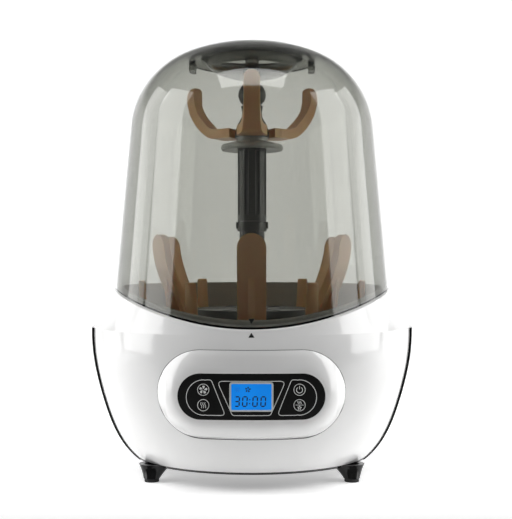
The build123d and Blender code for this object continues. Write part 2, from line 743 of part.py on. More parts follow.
def arm():
    """J-shaped arm: out from the hub, then up and slightly back in at the tip."""
    z = ARM_Z
    outer = Polyline((5, z), (34, z))
    outer += Spline((34, z), (50, z + 6), (62, z + 19.5), (68.4, z + 36), (66.6, ARM_TOP - 3),
                    tangents=((1, 0), (-0.25, 1)))
    outer += ThreePointArc((66.6, ARM_TOP - 3), (63.2, ARM_TOP), (59.6, ARM_TOP - 3))
    outer += Spline((59.6, ARM_TOP - 3), (59.6, z + 36), (54.5, z + 24), (46, z + 14.5), (33, z + 8.5),
                    tangents=((0.15, -1), (-1, -0.15)))
    outer += Polyline((33, z + 8.5), (5, z + 8.5), (5, z))
    side = Plane.XZ * make_face(outer)
    blade = extrude(side, 14, both=True)
    half = [(16.5, 14), (24, 13.6), (34, 11), (44, 8.6), (56, 7.3), (80, 6.6)]
    plan = make_face(Polyline(*half, *[(x, -y) for x, y in reversed(half)], close=True))
    blade = blade & (Pos(0, 0, z - 5) * extrude(plan, 100))
    tip_z = ARM_TOP - 6.8
    window = Plane.YZ * make_face(Polyline((-15, z - 1), (-15, tip_z), (15, tip_z), (15, z - 1), close=True))
    tip = Plane.YZ * (Pos(0, tip_z) * Circle(6.8))
    return blade & (extrude(window, 90, dir=(1, 0, 0)) + extrude(tip, 90, dir=(1, 0, 0)))


def lifting_knob():
    """Turned knob: bell, waist and ball, seated between the arms on the hub."""
    ball_z = 346.0
    z0 = ARM_Z
    bell = revolve_points([(0, z0), (16.0, z0), (16.0, z0 + 5), (13.5, z0 + 12), (9.6, z0 + 19),
                           (9.2, z0 + 24), (10.5, z0 + 29), (0, z0 + 29)])
    body = bell + Pos(0, 0, ball_z) * Sphere(KNOB_BALL)
    return body


# ---------------------------------------------------------------- lid

def dome_outline(inset):
    """Dome generator: leaning wall, shoulder arc and flat crown arc, at an inset from the outside."""
    run = (DOME_TAPER_R - DOME_RIM_R, DOME_TAPER_TOP - RIM_Z)
    length = math.hypot(*run)
    tx, tz = run[0] / length, run[1] / length
    nx, nz = -tz, tx
    cx = DOME_TAPER_R + nx * DOME_SHOULDER
    cz = DOME_TAPER_TOP + nz * DOME_SHOULDER
    crown_z = cz - math.sqrt((DOME_CROWN - DOME_SHOULDER) ** 2 - cx ** 2)
    shoulder = DOME_SHOULDER - inset
    crown = DOME_CROWN - inset
    low_z = 120.0
    low_r = DOME_RIM_R + tx / tz * (low_z - RIM_Z) + nx * inset
    wall_top = (cx - nx * shoulder, cz - nz * shoulder)
    a0 = math.atan2(-nz, -nx)
    a1 = math.atan2(cz - crown_z, cx)
    mid = (a0 + a1) / 2
    join = (cx + shoulder * math.cos(a1), cz + shoulder * math.sin(a1))
    half = (cx + shoulder * math.cos(mid), cz + shoulder * math.sin(mid))
    top_mid = (a1 + math.pi / 2) / 2
    apex = (0, crown_z + crown)
    crown_mid = (crown * math.cos(top_mid), crown_z + crown * math.sin(top_mid))
    line = Line((low_r, low_z), wall_top)
    line += ThreePointArc(wall_top, half, join)
    line += ThreePointArc(join, crown_mid, apex)
    line += Polyline(apex, (0, low_z), (low_r, low_z))
    return Plane.XZ * make_face(line), crown_z


def dome_solid(inset):
    face, _ = dome_outline(inset)
    return revolve(face, Axis.Z)


DOME_OUT = dome_solid(0)
DOME_IN = dome_solid(DOME_T)
CROWN_Z = dome_outline(0)[1]


def crown_height(radius, inset=0.0):
    """Height of the crown surface at a radius."""
    return CROWN_Z + math.sqrt((DOME_CROWN - inset) ** 2 - radius ** 2)


def lid_dome():
    """Smoked clear dome, its lower edge following the rim of the collar."""
    body = DOME_OUT - DOME_IN - below_rim(GAP)
    return body - cyl(GRIP_R, 370, 420)


def grip_dish():
    """Finger bowl under the crown, with a bonding flange and two snap hooks."""
    floor = GRIP_DEPTH
    lip_z = crown_height(49.7, DOME_T) - 0.2
    bowl_out = make_face(
        Line((0, floor), (12, floor)) + ThreePointArc((12, floor), (36, floor + 7), (49.7, lip_z))
        + Polyline((49.7, lip_z), (0, lip_z), (0, floor)))
    bowl_in = make_face(
        Line((0, floor + 2.5), (12, floor + 2.5))
        + ThreePointArc((12, floor + 2.5), (34.5, floor + 9.5), (46.5, lip_z + 4))
        + Polyline((46.5, lip_z + 4), (0, lip_z + 4), (0, floor + 2.5)))
    bowl = revolve(Plane.XZ * bowl_out, Axis.Z)
    flange = (DOME_IN & cyl(GRIP_FLANGE, 360, 420)) - cyl(GRIP_R + 1, 340, 420)
    lowered = Pos(0, 0, -3.4) * dome_solid(DOME_T)
    flange = flange - lowered
    body = bowl + flange
    for turn in (0, 180):
        hook = block(52.4, GRIP_FLANGE - 0.2, -8, 8, 368, crown_height(GRIP_FLANGE, DOME_T) + 0.4)
        body += Rot(0, 0, turn) * (hook & DOME_IN)
    body -= revolve(Plane.XZ * bowl_in, Axis.Z)
    return body - cyl(1.6, 340, 420)


def handle_bar():
    """Grip bar across the crown opening, flush with the dome."""
    body = DOME_OUT - (Pos(0, 0, -9.5) * DOME_OUT)
    body = body & block(-80, 80, -13, 13, 340, 420)
    body = body & cyl(GRIP_R - THIN, 340, 420)
    return body - grip_dish()


def handle_pillar():
    """Short pillar between the bowl and the bar."""
    body = cyl(6.4, GRIP_DEPTH + 2.5, crown_height(6.4) - 9.6)
    return body - cyl(1.6, 300, 378)


def handle_screw():
    """Screw from under the bowl, up the pillar."""
    return pan_screw(0, 0, GRIP_DEPTH, 1.5, 14.0, 4.0, 2.0)


# ---------------------------------------------------------------- writing the parts

def solids_of(shape):
    """One compound from a single shape or a list of separate solids."""
    if isinstance(shape, list):
        return Compound(children=[s for item in shape for s in item.solids()])
    return shape


def main():
    parts = {
        "upper_housing": upper_housing(),
        "lower_housing": lower_housing(),
        "foot_pads": foot_pads(),
        "bottom_cover": bottom_cover(),
        "bottom_cover_screws": bottom_cover_screws(),
        "housing_screws": housing_screws(),
        "chamber_basin": chamber_basin(),
        "plate_gasket": plate_gasket(),
        "heating_plate": heating_plate(),
        "plate_screws": plate_screws(),
        "heating_element": heating_element(),
        "thermostat": thermostat(),
        "thermal_fuse": thermal_fuse(),
        "control_bezel": control_bezel(),
        "panel_lens": panel_lens(),
        "display_frame": display_frame(),
        "display_module": display_module(),
        "control_board": control_board(),
        "key_switches": key_switches(),
        "board_screws": board_screws(),
        "blower_scroll": blower_scroll(),
        "blower_cover": blower_cover(),
        "blower_motor": blower_motor(),
        "impeller": impeller(),
        "air_duct": air_duct(),
        "air_heater": air_heater(),
        "outlet_grille": outlet_grille(),
        "power_board": power_board(),
        "power_inlet": power_inlet(),
        "filter_housing": filter_housing(),
        "filter_door": filter_door(),
        "filter_cartridge": filter_cartridge(),
        "rack_base": rack_base(),
        "drain_plate": drain_plate(),
        "divider_pegs": divider_pegs(),
        "lower_post": lower_post(),
        "upper_post": upper_post(),
        "upper_hub": upper_hub(),
        "lifting_knob": lifting_knob(),
        "lid_dome": lid_dome(),
        "grip_dish": grip_dish(),
        "handle_bar": handle_bar(),
        "handle_pillar": handle_pillar(),
        "handle_screw": handle_screw(),
    }
    for name, (x, z) in zip(("key_fan", "key_steam", "key_power", "key_combo"), key_places()):
        parts[name] = key(x, z)
    blank = finger()
    for i in range(FINGERS):
        parts[f"finger_{i + 1}"] = around(i * 60, blank)
    blank = arm()
    for i in range(ARMS):
        parts[f"arm_{i + 1}"] = around(i * 120, blank)

    os.makedirs("parts", exist_ok=True)
    for old in os.listdir("parts"):
        os.remove(os.path.join("parts", old))
    for name, shape in parts.items():
        export_step(solids_of(shape), f"parts/{name}.step")
    print(len(parts), "nodes")


main()
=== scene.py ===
import json
import math

import bmesh
import bpy
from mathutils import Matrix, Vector


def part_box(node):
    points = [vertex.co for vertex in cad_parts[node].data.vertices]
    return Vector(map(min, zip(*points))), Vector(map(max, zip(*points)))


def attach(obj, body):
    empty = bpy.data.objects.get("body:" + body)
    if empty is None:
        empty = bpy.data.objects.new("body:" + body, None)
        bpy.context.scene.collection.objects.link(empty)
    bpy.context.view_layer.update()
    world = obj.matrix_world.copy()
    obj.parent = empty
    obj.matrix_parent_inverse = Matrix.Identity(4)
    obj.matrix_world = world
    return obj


# Bottle sterilizer: looks, markings, light and camera around the CAD frame. Metres, -Y is the front.

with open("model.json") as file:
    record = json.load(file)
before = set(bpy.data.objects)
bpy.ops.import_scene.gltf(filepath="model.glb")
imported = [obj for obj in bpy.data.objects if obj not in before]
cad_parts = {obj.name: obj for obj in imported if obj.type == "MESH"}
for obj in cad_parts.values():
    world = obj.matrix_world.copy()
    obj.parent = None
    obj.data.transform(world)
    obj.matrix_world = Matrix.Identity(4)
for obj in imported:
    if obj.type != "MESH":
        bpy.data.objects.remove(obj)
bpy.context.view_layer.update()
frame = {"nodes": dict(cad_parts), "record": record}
nodes = frame["nodes"]

# ---------------------------------------------------------------- camera

CAMERA_PLACE = (0.0037, -0.950, 0.193)
LENS_MM = 70.9
SENSOR_MM = 36.0


def add_camera():
    """Level camera in front of the machine."""
    data = bpy.data.cameras.new("camera")
    data.lens = LENS_MM
    data.sensor_width = SENSOR_MM
    camera = bpy.data.objects.new("camera", data)
    camera.location = CAMERA_PLACE
    camera.rotation_euler = (math.radians(90), 0, 0)
    bpy.context.collection.objects.link(camera)
    bpy.context.scene.camera = camera


# ---------------------------------------------------------------- materials

def new_material(name):
    """Material with an empty tree, its shader and its output."""
    material = bpy.data.materials.new(name)
    material.use_nodes = True
    tree = material.node_tree
    tree.nodes.clear()
    output = tree.nodes.new("ShaderNodeOutputMaterial")
    shader = tree.nodes.new("ShaderNodeBsdfPrincipled")
    tree.links.new(shader.outputs["BSDF"], output.inputs["Surface"])
    return material, tree, shader, output


def object_noise(tree, scale, detail=3.0, stretch=None):
    """Noise in the object's own coordinates, stretched where a grain runs one way."""
    coords = tree.nodes.new("ShaderNodeTexCoord")
    noise = tree.nodes.new("ShaderNodeTexNoise")
    noise.inputs["Scale"].default_value = scale
    noise.inputs["Detail"].default_value = detail
    source = coords.outputs["Object"]
    if stretch:
        mapping = tree.nodes.new("ShaderNodeMapping")
        mapping.inputs["Scale"].default_value = stretch
        tree.links.new(source, mapping.inputs["Vector"])
        source = mapping.outputs["Vector"]
    tree.links.new(source, noise.inputs["Vector"])
    return noise.outputs["Fac"]


def ramp(tree, source, low, high, start=0.35, end=0.65):
    """Colour ramp between two colours."""
    node = tree.nodes.new("ShaderNodeValToRGB")
    node.color_ramp.elements[0].position = start
    node.color_ramp.elements[1].position = end
    node.color_ramp.elements[0].color = (*low, 1)
    node.color_ramp.elements[1].color = (*high, 1)
    tree.links.new(source, node.inputs["Fac"])
    return node.outputs["Color"]


def smooth_step(tree, source, start, end, low=0.0, high=1.0):
    """Value that eases from low to high while the source goes from start to end."""
    node = tree.nodes.new("ShaderNodeMapRange")
    node.interpolation_type = "SMOOTHSTEP"
    node.inputs["From Min"].default_value = start
    node.inputs["From Max"].default_value = end
    node.inputs["To Min"].default_value = low
    node.inputs["To Max"].default_value = high
    tree.links.new(source, node.inputs["Value"])
    return node.outputs["Result"]


def roughness_range(tree, shader, source, low, high):
    """Roughness that wanders between two values."""
    node = tree.nodes.new("ShaderNodeMapRange")
    node.inputs["To Min"].default_value = low
    node.inputs["To Max"].default_value = high
    tree.links.new(source, node.inputs["Value"])
    tree.links.new(node.outputs["Result"], shader.inputs["Roughness"])


def add_bump(tree, shader, source, strength, distance):
    """Fine relief."""
    node = tree.nodes.new("ShaderNodeBump")
    node.inputs["Strength"].default_value = strength
    node.inputs["Distance"].default_value = distance
    tree.links.new(source, node.inputs["Height"])
    tree.links.new(node.outputs["Normal"], shader.inputs["Normal"])


def plastic(name, low, high, rough, grain_scale, grain, coat=0.0, sheen=1.0):
    """Moulded plastic: slight colour drift, uneven gloss and a fine moulded skin."""
    material, tree, shader, _ = new_material(name)
    drift = object_noise(tree, 14.0)
    tree.links.new(ramp(tree, drift, low, high), shader.inputs["Base Color"])
    smudge = object_noise(tree, 45.0, 5.0)
    roughness_range(tree, shader, smudge, rough[0], rough[1])
    skin = object_noise(tree, grain_scale, 2.0)
    add_bump(tree, shader, skin, grain, 0.0002)
    shader.inputs["IOR"].default_value = 1.49
    shader.inputs["Coat Weight"].default_value = coat
    shader.inputs["Coat Roughness"].default_value = 0.06
    shader.inputs["Specular Tint"].default_value = (sheen, sheen, sheen, 1)
    return material


def translucent_plastic(name, low, high, transmission):
    """Tinted polypropylene that lets some light through."""
    material = plastic(name, low, high, (0.30, 0.42), 900.0, 0.08)
    shader = material.node_tree.nodes["Principled BSDF"]
    shader.inputs["Transmission Weight"].default_value = transmission
    shader.inputs["Subsurface Weight"].default_value = 0.25
    shader.inputs["Subsurface Radius"].default_value = (0.006, 0.003, 0.001)
    shader.inputs["Subsurface Scale"].default_value = 1.0
    return material


def smoked_clear(name, surface, depth_colour, density, rough, sheen):
    """Clear smoked polycarbonate: the tint deepens with the length of wall the light crosses."""
    material, tree, shader, output = new_material(name)
    shader.inputs["Base Color"].default_value = (*surface, 1)
    shader.inputs["Transmission Weight"].default_value = 1.0
    shader.inputs["IOR"].default_value = 1.45
    shader.inputs["Specular Tint"].default_value = (sheen, sheen, sheen, 1)
    wipe = object_noise(tree, 8.0, 4.0, (1.0, 1.0, 0.3))
    roughness_range(tree, shader, wipe, rough[0], rough[1])
    absorb = tree.nodes.new("ShaderNodeVolumeAbsorption")
    absorb.inputs["Color"].default_value = (*depth_colour, 1)
    absorb.inputs["Density"].default_value = density
    tree.links.new(absorb.outputs["Volume"], output.inputs["Volume"])
    return material


def metal(name, low, high, rough, stretch=None):
    """Metal with a drawn or satin finish."""
    material, tree, shader, _ = new_material(name)
    grain = object_noise(tree, 220.0, 4.0, stretch)
    tree.links.new(ramp(tree, grain, low, high), shader.inputs["Base Color"])
    roughness_range(tree, shader, grain, rough[0], rough[1])
    add_bump(tree, shader, grain, 0.12, 0.00005)
    shader.inputs["Metallic"].default_value = 1.0
    return material


def backlit_screen():
    """Blue backlight, slightly uneven."""
    material, tree, shader, _ = new_material("screen_blue")
    shader.inputs["Base Color"].default_value = (0.002, 0.05, 0.2, 1)
    shader.inputs["Roughness"].default_value = 0.25
    cloud = object_noise(tree, 30.0, 1.0)
    glow = ramp(tree, cloud, (0.001, 0.17, 0.60), (0.002, 0.21, 0.70), 0.3, 0.7)
    tree.links.new(glow, shader.inputs["Emission Color"])
    shader.inputs["Emission Strength"].default_value = 1.0
    return material


def circuit_board():
    """Solder-masked laminate with lighter tracks."""
    material, tree, shader, _ = new_material("board_green")
    coords = tree.nodes.new("ShaderNodeTexCoord")
    brick = tree.nodes.new("ShaderNodeTexBrick")
    brick.inputs["Scale"].default_value = 180.0
    brick.inputs["Color1"].default_value = (0.01, 0.10, 0.035, 1)
    brick.inputs["Color2"].default_value = (0.012, 0.13, 0.045, 1)
    brick.inputs["Mortar"].default_value = (0.03, 0.22, 0.08, 1)
    brick.inputs["Mortar Size"].default_value = 0.04
    tree.links.new(coords.outputs["Object"], brick.inputs["Vector"])
    tree.links.new(brick.outputs["Color"], shader.inputs["Base Color"])
    shader.inputs["Roughness"].default_value = 0.35
    return material


def pleated_paper():
    """Filter paper."""
    material, tree, shader, _ = new_material("filter_paper")
    fibre = object_noise(tree, 600.0, 6.0)
    tree.links.new(ramp(tree, fibre, (0.68, 0.66, 0.6), (0.82, 0.8, 0.75)), shader.inputs["Base Color"])
    add_bump(tree, shader, fibre, 0.4, 0.0002)
    shader.inputs["Roughness"].default_value = 0.9
    return material


def printed(name, colour, rough, glow=0.0):
    """Printed ink, slightly uneven. With glow the ink also emits its own colour: a painted glow on the
    pale panel ink, and the backlight showing through on the faint screen ink.
    """
    material, tree, shader, _ = new_material(name)
    speck = object_noise(tree, 400.0, 2.0)
    dim = tuple(c * 0.93 for c in colour)
    tree.links.new(ramp(tree, speck, dim, colour), shader.inputs["Base Color"])
    shader.inputs["Roughness"].default_value = rough
    if glow:
        shader.inputs["Emission Color"].default_value = (*colour, 1)
        shader.inputs["Emission Strength"].default_value = glow
    return material


MATERIALS = {
    "white_gloss": plastic("white_gloss", (0.78, 0.78, 0.775), (0.82, 0.82, 0.815), (0.14, 0.20),
                           700.0, 0.03, 0.6),
    "black_gloss": plastic("black_gloss", (0.004, 0.004, 0.004), (0.008, 0.008, 0.008),
                           (0.08, 0.14), 700.0, 0.02, 0.1, 0.6),
    "black_plastic": plastic("black_plastic", (0.012, 0.012, 0.012), (0.02, 0.02, 0.02),
                             (0.35, 0.5), 1500.0, 0.3),
    "pad_rubber": plastic("pad_rubber", (0.012, 0.012, 0.012), (0.02, 0.02, 0.02), (0.7, 0.85),
                          1200.0, 0.5),
    "basin_grey": plastic("basin_grey", (0.50, 0.49, 0.45), (0.56, 0.55, 0.51), (0.28, 0.4), 900.0,
                          0.1),
    "seal_silicone": plastic("seal_silicone", (0.6, 0.59, 0.57), (0.66, 0.65, 0.63), (0.45, 0.6),
                             700.0, 0.15),
    "rack_grey": plastic("rack_grey", (0.042, 0.043, 0.038), (0.060, 0.062, 0.055), (0.26, 0.38),
                         1100.0, 0.12),
    "hub_grey": plastic("hub_grey", (0.40, 0.41, 0.38), (0.48, 0.49, 0.46), (0.25, 0.4), 900.0, 0.1),
    "amber": translucent_plastic("amber", (0.92, 0.57, 0.29), (0.98, 0.65, 0.36), 0.25),
    "smoke_dome": smoked_clear("smoke_dome", (0.90, 0.90, 0.88), (0.50, 0.51, 0.475), 245.0,
                               (0.0, 0.03), 0.9),
    "smoke_dark": smoked_clear("smoke_dark", (0.42, 0.42, 0.39), (0.24, 0.25, 0.23), 55.0,
                               (0.02, 0.06), 0.5),
    "steel": metal("steel", (0.52, 0.52, 0.50), (0.68, 0.68, 0.66), (0.18, 0.32), (1.0, 12.0, 1.0)),
    "screw_steel": metal("screw_steel", (0.55, 0.55, 0.55), (0.7, 0.7, 0.7), (0.15, 0.25)),
    "aluminium": metal("aluminium", (0.62, 0.62, 0.61), (0.76, 0.76, 0.75), (0.22, 0.34),
                       (1.0, 1.0, 8.0)),
    "screen_blue": backlit_screen(),
    "board_green": circuit_board(),
    "filter_paper": pleated_paper(),
}
NODE_LOOKS = {
    "display_frame": plastic("frame_silver", (0.56, 0.58, 0.58), (0.64, 0.66, 0.66), (0.25, 0.35),
                             900.0, 0.05),
}
# Pale ink with a weak painted glow, which keeps the panel lines and key signs bright whatever light
# falls on them.
INK_PALE_PAINTED_GLOW = printed("ink_pale_painted_glow", (0.62, 0.63, 0.62), 0.35, 0.15)
# Black ink for the printed marks, also used as the painted shadow in the bezel seam.
INK_BLACK_AND_SEAM_SHADOW = printed("ink_black_and_seam_shadow", (0.004, 0.004, 0.004), 0.4)
INK_SCREEN = printed("ink_screen", (0.001, 0.012, 0.03), 0.5)
INK_FAINT = printed("ink_faint", (0.004, 0.10, 0.42), 0.5, 0.55)


def dress_nodes():
    """Every CAD node gets its own look, or else the material of its slot."""
    slots = {row["node"]: row["material_slot"] for row in frame["record"]["subparts"]}
    for name, obj in nodes.items():
        material = NODE_LOOKS.get(name) or MATERIALS[slots[name]]
        if obj.material_slots:
            for entry in obj.material_slots:
                entry.material = material
        else:
            obj.data.materials.append(material)


# ---------------------------------------------------------------- flat markings

LENS_RADIUS = 0.330
INK_RAISE = 0.00012


def lens_y(x):
    """Y of the panel lens at a place across."""
    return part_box("panel_lens")[0][1] + x * x / (2 * LENS_RADIUS)


def on_lens(x, z):
    """Height function of the curved panel lens."""
    return lens_y(x)


def flat(face):
    """Height function of a flat face."""
    def height(x, z):
        return face
    return height


def add_piece(name, mesh, material, body):
    """Links a mesh as a piece that rides on a body."""
    obj = bpy.data.objects.new(name, mesh)
    obj.data.materials.append(material)
    bpy.context.collection.objects.link(obj)
    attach(obj, body)
    return obj


def line_piece(name, paths, width, height, material, body):
    """Printed lines, and the painted shadow line in the bezel seam: a thin rounded ribbon along each
    path of (x, z) points, lying on a surface.

    height(x, z) gives the surface's Y. A path is (points, closed)."""
    mesh = bpy.data.meshes.new(name)
    bm = bmesh.new()
    for points, closed in paths:
        ribbon(bm, points, closed, width, height)
    bm.to_mesh(mesh)
    bm.free()
    return add_piece(name, mesh, material, body)


def ribbon(bm, points, closed, width, height):
    """Adds one ribbon with a crowned section to bm."""
    count = len(points)
    rows = []
    for i, (x, z) in enumerate(points):
        before = points[i - 1] if closed or i else points[i]
        after = points[(i + 1) % count] if closed or i < count - 1 else points[i]
        dx, dz = after[0] - before[0], after[1] - before[1]
        length = math.hypot(dx, dz) or 1.0
        nx, nz = -dz / length, dx / length
        row = []
        for side, lift in ((-0.5, -0.3), (-0.38, 1.0), (0.38, 1.0), (0.5, -0.3)):
            px, pz = x + nx * width * side, z + nz * width * side
            row.append(bm.verts.new((px, height(px, pz) - INK_RAISE * lift, pz)))
        rows.append(row)
    spans = count if closed else count - 1
    for i in range(spans):
        a, b = rows[i], rows[(i + 1) % count]
        for j in range(3):
            bm.faces.new((a[j], b[j], b[j + 1], a[j + 1]))


def patch(bm, outline, height):
    """Adds one filled marking with a small bevelled edge to bm."""
    cx = sum(p[0] for p in outline) / len(outline)
    cz = sum(p[1] for p in outline) / len(outline)
    rim = [bm.verts.new((x, height(x, z) + INK_RAISE * 0.3, z)) for x, z in outline]
    top = []
    for x, z in outline:
        px, pz = cx + (x - cx) * 0.94, cz + (z - cz) * 0.94
        top.append(bm.verts.new((px, height(px, pz) - INK_RAISE, pz)))
    count = len(outline)
    for i in range(count):
        j = (i + 1) % count
        bm.faces.new((rim[i], rim[j], top[j], top[i]))
    bm.faces.new(top)


def patch_piece(name, outlines, height, material, body):
    """One piece made of filled markings."""
    mesh = bpy.data.meshes.new(name)
    bm = bmesh.new()
    for outline in outlines:
        patch(bm, outline, height)
    bm.to_mesh(mesh)
    bm.free()
    return add_piece(name, mesh, material, body)


def arc(cx, cz, radius, start, end, steps=18):
    """Points of an arc, in degrees."""
    out = []
    for i in range(steps + 1):
        a = math.radians(start + (end - start) * i / steps)
        out.append((cx + radius * math.cos(a), cz + radius * math.sin(a)))
    return out


def rounded(corners, radius, steps=6):
    """Closed outline with rounded corners."""
    out = []
    count = len(corners)
    for i, corner in enumerate(corners):
        c = Vector(corner)
        a = Vector(corners[i - 1])
        b = Vector(corners[(i + 1) % count])
        da, db = (a - c).normalized(), (b - c).normalized()
        half = da.angle(db) / 2
        reach = radius / math.tan(half)
        p, q = c + da * reach, c + db * reach
        for s in range(steps + 1):
            t = s / steps
            out.append(tuple(p * (1 - t) ** 2 + c * 2 * t * (1 - t) + q * t * t))
    return out


def densify(points, step):
    """Extra points on long straight stretches, so that a line follows a curved surface."""
    out = []
    for i, a in enumerate(points):
        b = points[(i + 1) % len(points)]
        length = math.hypot(b[0] - a[0], b[1] - a[1])
        parts = max(1, int(length / step))
        for s in range(parts):
            t = s / parts
            out.append((a[0] + (b[0] - a[0]) * t, a[1] + (b[1] - a[1]) * t))
    return out


PANEL_MID = 0.0823
BEZEL_Z = 0.083
BEZEL_HALF_W = 0.0775
BEZEL_HALF_H = 0.037
SEAM_OFFSET = 0.00022
SEAM_W = 0.0006
SEAM_SINK = 0.0001
SEAM_PROBE = 0.0012
GROUP_TOP = 0.0965
GROUP_BOTTOM = 0.0681
LINE_W = 0.00055


def panel_lines():
    """Thin outlines: a trapezoid round the display and a rounded group round each pair of keys."""
    trapezoid = rounded([(-0.0275, 0.0955), (0.0275, 0.0955), (0.0152, 0.0681), (-0.0152, 0.0681)],
                        0.003)
    half = (GROUP_TOP - GROUP_BOTTOM) / 2
    group = arc(-0.0382, PANEL_MID, half, 90, 270, 24)
    tail = rounded([(-0.0382, GROUP_BOTTOM), (-0.0208, GROUP_BOTTOM), (-0.0322, GROUP_TOP),
                    (-0.0382, GROUP_TOP)],
                   0.0026)
    keep = [p for p in tail if p[0] > -0.0375]
    left = densify(group + keep, 0.003)
    right = [(-x, z) for x, z in left]
    paths = [(densify(trapezoid, 0.003), True), (left, True), (right, True)]
    line_piece("panel_outlines", paths, LINE_W, on_lens, INK_PALE_PAINTED_GLOW, "base")


def bezel_seam_shadow():
    """Painted shadow in the seam between the bezel and the apron: a black line sunk a little below the
    apron, following the bezel's outline.
    """
    half_h = BEZEL_HALF_H + SEAM_OFFSET
    reach = BEZEL_HALF_W + SEAM_OFFSET - half_h
    outline = arc(reach, BEZEL_Z, half_h, -90, 90, 30) + arc(-reach, BEZEL_Z, half_h, 90, 270, 30)
    apron = surface_height(["upper_housing"])

    def height(x, z):
        cx = max(-reach, min(reach, x))
        dx, dz = x - cx, z - BEZEL_Z
        out = 1 + SEAM_PROBE / math.hypot(dx, dz)
        return apron(cx + dx * out, BEZEL_Z + dz * out) + SEAM_SINK

    # The black ink here is painted shadow in the gap between bezel and apron, not a dark part.
    line_piece("bezel_seam_shadow", [(densify(outline, 0.003), True)], SEAM_W, height, INK_BLACK_AND_SEAM_SHADOW, "base")


def fan_blades(cx, cz, radius, count=5):
    """Curved blades of a fan sign."""
    blades = []
    for i in range(count):
        turn = 2 * math.pi * i / count
        outline = []
        for r, a in ((0.18, 0.0), (0.45, 0.50), (0.80, 0.62), (1.0, 0.40), (0.98, 0.05), (0.80, -0.22),
                     (0.52, -0.18), (0.30, -0.35)):
            outline.append((cx + radius * r * math.cos(a + turn), cz + radius * r * math.sin(a + turn)))
        blades.append(outline)
    return blades


def waves(cx, cz, height, gap, count=3):
    """Upright wavy lines of a steam sign."""
    paths = []
    for i in range(count):
        x0 = cx + gap * (i - (count - 1) / 2)
        points = []
        for s in range(15):
            t = s / 14
            points.append((x0 + 0.00045 * math.sin(2 * math.pi * t), cz + height * (t - 0.5)))
        paths.append((points, False))
    return paths


def key_signs():
    """Ring and sign on each key."""
    for name in ("key_fan", "key_steam", "key_power", "key_combo"):
        low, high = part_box(name)
        cx, cz = (low[0] + high[0]) / 2, (low[2] + high[2]) / 2
        surface = flat(low[1])
        ring_line = (arc(cx, cz, 0.00455, 0, 352, 44), True)
        line_piece(name + "_ring", [ring_line], 0.0005, surface, INK_PALE_PAINTED_GLOW, name)
        if name == "key_fan":
            patch_piece(name + "_sign", fan_blades(cx, cz, 0.0034), surface, INK_PALE_PAINTED_GLOW, name)
        elif name == "key_steam":
            line_piece(name + "_sign", waves(cx, cz, 0.0046, 0.0016), 0.0005, surface, INK_PALE_PAINTED_GLOW, name)
        elif name == "key_power":
            power = [(arc(cx, cz - 0.0002, 0.0024, 125, 415, 30), False),
                     ([(cx, cz + 0.0003), (cx, cz + 0.0031)], False)]
            line_piece(name + "_sign", power, 0.0006, surface, INK_PALE_PAINTED_GLOW, name)
        else:
            both = waves(cx, cz + 0.0021, 0.0022, 0.0012)
            both.append(([(cx - 0.0032, cz + 0.0001), (cx + 0.0032, cz + 0.0001)], False))
            line_piece(name + "_sign", both, 0.0004, surface, INK_PALE_PAINTED_GLOW, name)
            patch_piece(name + "_fan", fan_blades(cx, cz - 0.0021, 0.0017), surface, INK_PALE_PAINTED_GLOW, name)


SEGMENTS = {"0": "abcdef", "3": "abcdg"}
DIGIT_W = 0.0035
DIGIT_H = 0.0076
DIGIT_SLANT = 0.06


def segment_outline(which, x0, z0):
    """One bar of a seven-bar digit whose lower left corner is at x0, z0."""
    w, h, t, gap = DIGIT_W, DIGIT_H, 0.00105, 0.0002
    across = {"a": h, "g": h / 2, "d": 0.0}
    upright = {"f": (0, h / 2), "b": (w, h / 2), "e": (0, 0), "c": (w, 0)}
    if which in across:
        z = across[which]
        raw = [(gap, z), (gap + t / 2, z + t / 2), (w - gap - t / 2, z + t / 2), (w - gap, z),
               (w - gap - t / 2, z - t / 2), (gap + t / 2, z - t / 2)]
    else:
        x, z = upright[which]
        top = z + h / 2
        raw = [(x, z + gap), (x + t / 2, z + gap + t / 2), (x + t / 2, top - gap - t / 2),
               (x, top - gap),
               (x - t / 2, top - gap - t / 2), (x - t / 2, z + gap + t / 2)]
    return [(x0 + x + DIGIT_SLANT * z, z0 + z) for x, z in raw]


def screen_signs():
    """Bars of a generic time reading and two small signs on the display."""
    low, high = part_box("display_module")
    surface = flat(low[1])
    z0 = 0.0755
    starts = (-0.0134, -0.0072, 0.0010, 0.0075)
    outlines = []
    for x0, digit in zip(starts, "3000"):
        outlines += [segment_outline(which, x0, z0) for which in SEGMENTS[digit]]
    for dz in (0.0022, 0.0054):
        outlines.append(arc(-0.0016 + DIGIT_SLANT * dz, z0 + dz, 0.00055, 0, 330, 11))
    patch_piece("screen_reading", outlines, surface, INK_SCREEN, "base")
    patch_piece("screen_fan", fan_blades(-0.0028, 0.0889, 0.0023), surface, INK_SCREEN, "base")
    line_piece("screen_steam", waves(-0.0112, 0.0889, 0.0036, 0.0014), 0.0004, surface, INK_FAINT,
               "base")


def surface_height(names, start_y=-0.30):
    """Function that finds the foremost surface of CAD nodes at x, z."""
    targets = [nodes[name] for name in names]

    def height(x, z):
        best = None
        for target in targets:
            hit, place, _, _ = target.ray_cast(Vector((x, start_y, z)), Vector((0, 1, 0)))
            if hit and (best is None or place.y < best):
                best = place.y
        return best if best is not None else -0.127
    return height


def alignment_marks():
    """Two small black triangles that point at each other across the lid's seam."""
    rim = 0.1376
    on_lid = surface_height(["lid_dome"])
    on_base = surface_height(["upper_housing"])
    lid_mark = [(-0.0025, rim + 0.0076), (0.0, rim + 0.0034), (0.0025, rim + 0.0076)]
    base_mark = [(-0.0025, rim - 0.0074), (0.0025, rim - 0.0074), (0.0, rim - 0.0034)]
    patch_piece("lid_mark", [lid_mark], on_lid, INK_BLACK_AND_SEAM_SHADOW, "lid")
    patch_piece("base_mark", [base_mark], on_base, INK_BLACK_AND_SEAM_SHADOW, "base")


# ---------------------------------------------------------------- light and floor

MIDDLE = (0, 0, 0.16)
SHOULDER = (0, 0, 0.2)
